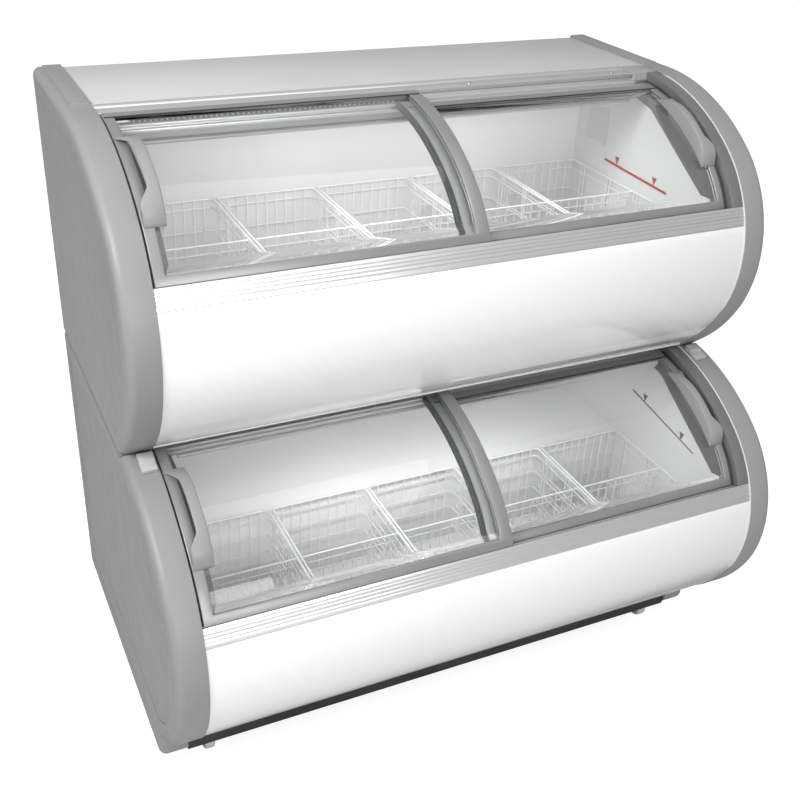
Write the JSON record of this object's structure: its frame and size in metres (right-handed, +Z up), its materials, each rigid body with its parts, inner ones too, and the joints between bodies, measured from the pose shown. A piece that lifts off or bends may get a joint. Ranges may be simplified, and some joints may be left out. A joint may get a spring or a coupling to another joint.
{
  "type": "ice cream display freezer",
  "caption": "Wheeled display freezer with stacked insulated tanks, curved sliding glass doors, wire baskets and a machine room behind a rear grille.",
  "frame": {"origin": "floor point under the middle of the cabinet's width and depth", "axes": "+X to the right of a customer who faces the doors, +Y to the back, +Z up"},
  "size_m": [1.3, 0.8898, 1.254],
  "materials": {
    "side_grey": "satin",
    "front_white": "gloss",
    "top_grey": "satin",
    "sheet_steel": "satin",
    "trim_aluminium": "satin",
    "door_grey": "satin",
    "handle_grey": "satin",
    "cap_grey": "satin",
    "pane": "gloss",
    "seal": "matte",
    "liner_white": "satin",
    "jamb_dark": "matte",
    "wire_white": "satin",
    "foam": "matte",
    "evaporator": "satin",
    "lamp_white": "satin",
    "led": "matte",
    "base_dark": "matte",
    "caster_steel": "satin",
    "caster_tread": "matte",
    "grille_dark": "matte",
    "compressor_black": "satin",
    "condenser_fins": "satin",
    "fan_steel": "satin",
    "fan_plastic": "matte",
    "copper": "satin",
    "box_grey": "matte",
    "switch_red": "gloss",
    "inlet_black": "matte"
  },
  "bodies": {
    "cabinet": {"back_panels": "sheet_steel", "base_frame": "base_dark", "compressor": "compressor_black", "condenser": "condenser_fins", "control_box": "box_grey", "cooling_plates": "evaporator", "door_headers": "trim_aluminium", "door_jambs": "jamb_dark", "door_sills": "trim_aluminium", "fan_motor": "fan_steel", "front_panel_lower": "front_white", "front_panel_upper": "front_white", "insulation": "foam", "joint_covers": "cap_grey", "lamp_housings": "lamp_white", "led_strips": "led", "liner_lower": "liner_white", "liner_upper": "liner_white", "power_inlet": "inlet_black", "rear_grille": "grille_dark", "refrigerant_pipes": "copper", "side_panel_lower_left": "side_grey", "side_panel_lower_right": "side_grey", "side_panel_upper_left": "side_grey", "side_panel_upper_right": "side_grey", "top_panel": "top_grey"},
    "basket_lower_1": {"basket_lower_1": "wire_white"},
    "basket_lower_2": {"basket_lower_2": "wire_white"},
    "basket_lower_3": {"basket_lower_3": "wire_white"},
    "basket_lower_4": {"basket_lower_4": "wire_white"},
    "basket_lower_5": {"basket_lower_5": "wire_white"},
    "basket_upper_1": {"basket_upper_1": "wire_white"},
    "basket_upper_2": {"basket_upper_2": "wire_white"},
    "basket_upper_3": {"basket_upper_3": "wire_white"},
    "basket_upper_4": {"basket_upper_4": "wire_white"},
    "basket_upper_5": {"basket_upper_5": "wire_white"},
    "caster_fork_front_left": {"caster_fork_front_left": "caster_steel"},
    "caster_fork_front_right": {"caster_fork_front_right": "caster_steel"},
    "caster_fork_rear_left": {"caster_fork_rear_left": "caster_steel"},
    "caster_fork_rear_right": {"caster_fork_rear_right": "caster_steel"},
    "caster_wheel_front_left": {"caster_wheel_front_left": "caster_tread"},
    "caster_wheel_front_right": {"caster_wheel_front_right": "caster_tread"},
    "caster_wheel_rear_left": {"caster_wheel_rear_left": "caster_tread"},
    "caster_wheel_rear_right": {"caster_wheel_rear_right": "caster_tread"},
    "door_lower_left": {"door_frame_lower_left": "door_grey", "door_glass_lower_left": "pane", "door_handle_lower_left": "handle_grey"},
    "door_lower_right": {"door_frame_lower_right": "door_grey", "door_glass_lower_right": "pane", "door_handle_lower_right": "handle_grey", "door_seal_lower_right": "seal"},
    "door_upper_left": {"door_frame_upper_left": "door_grey", "door_glass_upper_left": "pane", "door_handle_upper_left": "handle_grey"},
    "door_upper_right": {"door_frame_upper_right": "door_grey", "door_glass_upper_right": "pane", "door_handle_upper_right": "handle_grey", "door_seal_upper_right": "seal"},
    "fan_blades": {"fan_blades": "fan_plastic"},
    "power_switch": {"power_switch": "switch_red"}
  },
  "joints": [
    {"name": "door_upper_left_slide", "type": "slide", "parent": "cabinet", "child": "door_upper_left", "axis": [1, 0, 0], "range_m": [0, 0.505]},
    {"name": "door_upper_right_slide", "type": "slide", "parent": "cabinet", "child": "door_upper_right", "axis": [1, 0, 0], "range_m": [-0.505, 0]},
    {"name": "door_lower_left_slide", "type": "slide", "parent": "cabinet", "child": "door_lower_left", "axis": [1, 0, 0], "range_m": [0, 0.505]},
    {"name": "door_lower_right_slide", "type": "slide", "parent": "cabinet", "child": "door_lower_right", "axis": [1, 0, 0], "range_m": [-0.505, 0]},
    {"name": "basket_upper_1_lift", "type": "slide", "parent": "cabinet", "child": "basket_upper_1", "axis": [0, 0, 1], "range_m": [0, 0.08]},
    {"name": "basket_upper_2_lift", "type": "slide", "parent": "cabinet", "child": "basket_upper_2", "axis": [0, 0, 1], "range_m": [0, 0.08]},
    {"name": "basket_upper_3_lift", "type": "slide", "parent": "cabinet", "child": "basket_upper_3", "axis": [0, 0, 1], "range_m": [0, 0.08]},
    {"name": "basket_upper_4_lift", "type": "slide", "parent": "cabinet", "child": "basket_upper_4", "axis": [0, 0, 1], "range_m": [0, 0.08]},
    {"name": "basket_upper_5_lift", "type": "slide", "parent": "cabinet", "child": "basket_upper_5", "axis": [0, 0, 1], "range_m": [0, 0.08]},
    {"name": "basket_lower_1_lift", "type": "slide", "parent": "cabinet", "child": "basket_lower_1", "axis": [0, 0, 1], "range_m": [0, 0.05]},
    {"name": "basket_lower_2_lift", "type": "slide", "parent": "cabinet", "child": "basket_lower_2", "axis": [0, 0, 1], "range_m": [0, 0.05]},
    {"name": "basket_lower_3_lift", "type": "slide", "parent": "cabinet", "child": "basket_lower_3", "axis": [0, 0, 1], "range_m": [0, 0.05]},
    {"name": "basket_lower_4_lift", "type": "slide", "parent": "cabinet", "child": "basket_lower_4", "axis": [0, 0, 1], "range_m": [0, 0.05]},
    {"name": "basket_lower_5_lift", "type": "slide", "parent": "cabinet", "child": "basket_lower_5", "axis": [0, 0, 1], "range_m": [0, 0.05]},
    {"name": "caster_front_left_swivel", "type": "hinge", "parent": "cabinet", "child": "caster_fork_front_left", "pos_m": [-0.545, -0.18711, 0.063], "axis": [0, 0, 1], "continuous": true},
    {"name": "caster_front_left_roll", "type": "hinge", "parent": "caster_fork_front_left", "child": "caster_wheel_front_left", "pos_m": [-0.545, -0.20511, 0.025], "axis": [1, 0, 0], "continuous": true},
    {"name": "caster_front_right_swivel", "type": "hinge", "parent": "cabinet", "child": "caster_fork_front_right", "pos_m": [0.545, -0.18711, 0.063], "axis": [0, 0, 1], "continuous": true},
    {"name": "caster_front_right_roll", "type": "hinge", "parent": "caster_fork_front_right", "child": "caster_wheel_front_right", "pos_m": [0.545, -0.20511, 0.025], "axis": [1, 0, 0], "continuous": true},
    {"name": "caster_rear_left_swivel", "type": "hinge", "parent": "cabinet", "child": "caster_fork_rear_left", "pos_m": [-0.545, 0.38489, 0.063], "axis": [0, 0, 1], "continuous": true},
    {"name": "caster_rear_left_roll", "type": "hinge", "parent": "caster_fork_rear_left", "child": "caster_wheel_rear_left", "pos_m": [-0.545, 0.36689, 0.025], "axis": [1, 0, 0], "continuous": true},
    {"name": "caster_rear_right_swivel", "type": "hinge", "parent": "cabinet", "child": "caster_fork_rear_right", "pos_m": [0.545, 0.38489, 0.063], "axis": [0, 0, 1], "continuous": true},
    {"name": "caster_rear_right_roll", "type": "hinge", "parent": "caster_fork_rear_right", "child": "caster_wheel_rear_right", "pos_m": [0.545, 0.36689, 0.025], "axis": [1, 0, 0], "continuous": true},
    {"name": "fan_spin", "type": "hinge", "parent": "cabinet", "child": "fan_blades", "pos_m": [-0.25, 0.16289, 0.188], "axis": [0, 1, 0], "continuous": true},
    {"name": "power_switch_rock", "type": "hinge", "parent": "cabinet", "child": "power_switch", "pos_m": [-0.47, 0.43199, 0.268], "axis": [1, 0, 0], "range_deg": [0, 16]}
  ]
}
